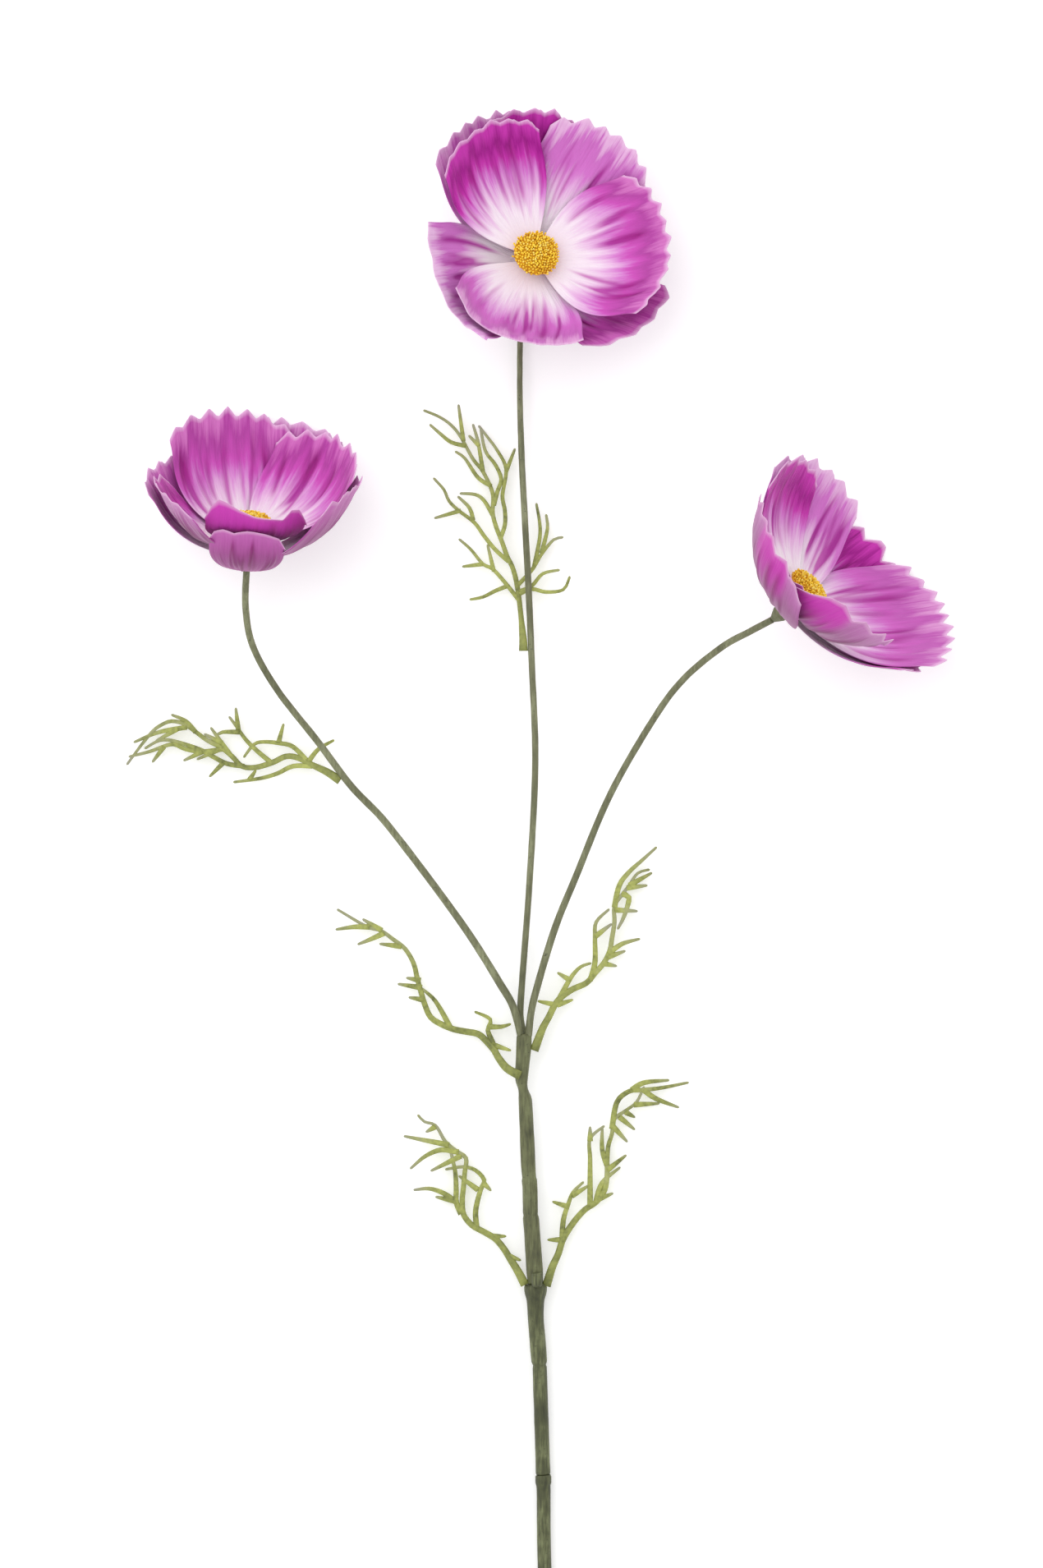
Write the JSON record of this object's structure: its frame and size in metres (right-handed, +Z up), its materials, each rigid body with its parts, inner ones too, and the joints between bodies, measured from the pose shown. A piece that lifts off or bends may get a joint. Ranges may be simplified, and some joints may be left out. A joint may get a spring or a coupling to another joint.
{
  "type": "cosmos flower spray",
  "caption": "Cut cosmos spray lying flat: branching green stem, thread-like divided leaves and open cup-shaped pink flowers with toothed petals and yellow centres.",
  "frame": {"origin": "centre of the bounding box in X and Y, at the surface the spray lies on", "axes": "+Y along the spray from the cut end towards the flowers, +Z up from the surface, +X to the right seen from above with the flowers at the top"},
  "size_m": [0.339, 0.651, 0.0953],
  "materials": {
    "petal": "soft satin petal, white at the base, pink to magenta outside",
    "flower_centre": "matt, granular, golden yellow",
    "receptacle": "matt green",
    "stem": "satin olive green with fine dark specks",
    "branch": "satin grey green",
    "leaf": "matt lime olive green, greyer at the tips"
  },
  "bodies": {
    "root": {"top_head_petal_1": "petal", "top_head_petal_2": "petal", "top_head_petal_3": "petal", "top_head_petal_4": "petal", "top_head_petal_5": "petal", "top_head_petal_6": "petal", "top_head_petal_7": "petal", "top_head_petal_8": "petal", "top_head_receptacle": "receptacle", "top_head_centre": "flower_centre", "left_head_petal_1": "petal", "left_head_petal_2": "petal", "left_head_petal_3": "petal", "left_head_petal_4": "petal", "left_head_petal_5": "petal", "left_head_petal_6": "petal", "left_head_petal_7": "petal", "left_head_petal_8": "petal", "left_head_receptacle": "receptacle", "left_head_centre": "flower_centre", "right_head_petal_1": "petal", "right_head_petal_2": "petal", "right_head_petal_3": "petal", "right_head_petal_4": "petal", "right_head_petal_5": "petal", "right_head_petal_6": "petal", "right_head_petal_7": "petal", "right_head_petal_8": "petal", "right_head_receptacle": "receptacle", "right_head_centre": "flower_centre", "stem_base": "stem", "main_stem": "stem", "upper_stem": "stem", "stem_nub": "stem", "left_branch": "branch", "centre_branch": "branch", "right_branch": "branch", "centre_leaf": "leaf", "left_leaf": "leaf", "middle_left_leaf": "leaf", "middle_right_leaf": "leaf", "lower_left_leaf": "leaf", "lower_right_leaf": "leaf"}
  },
  "joints": []
}
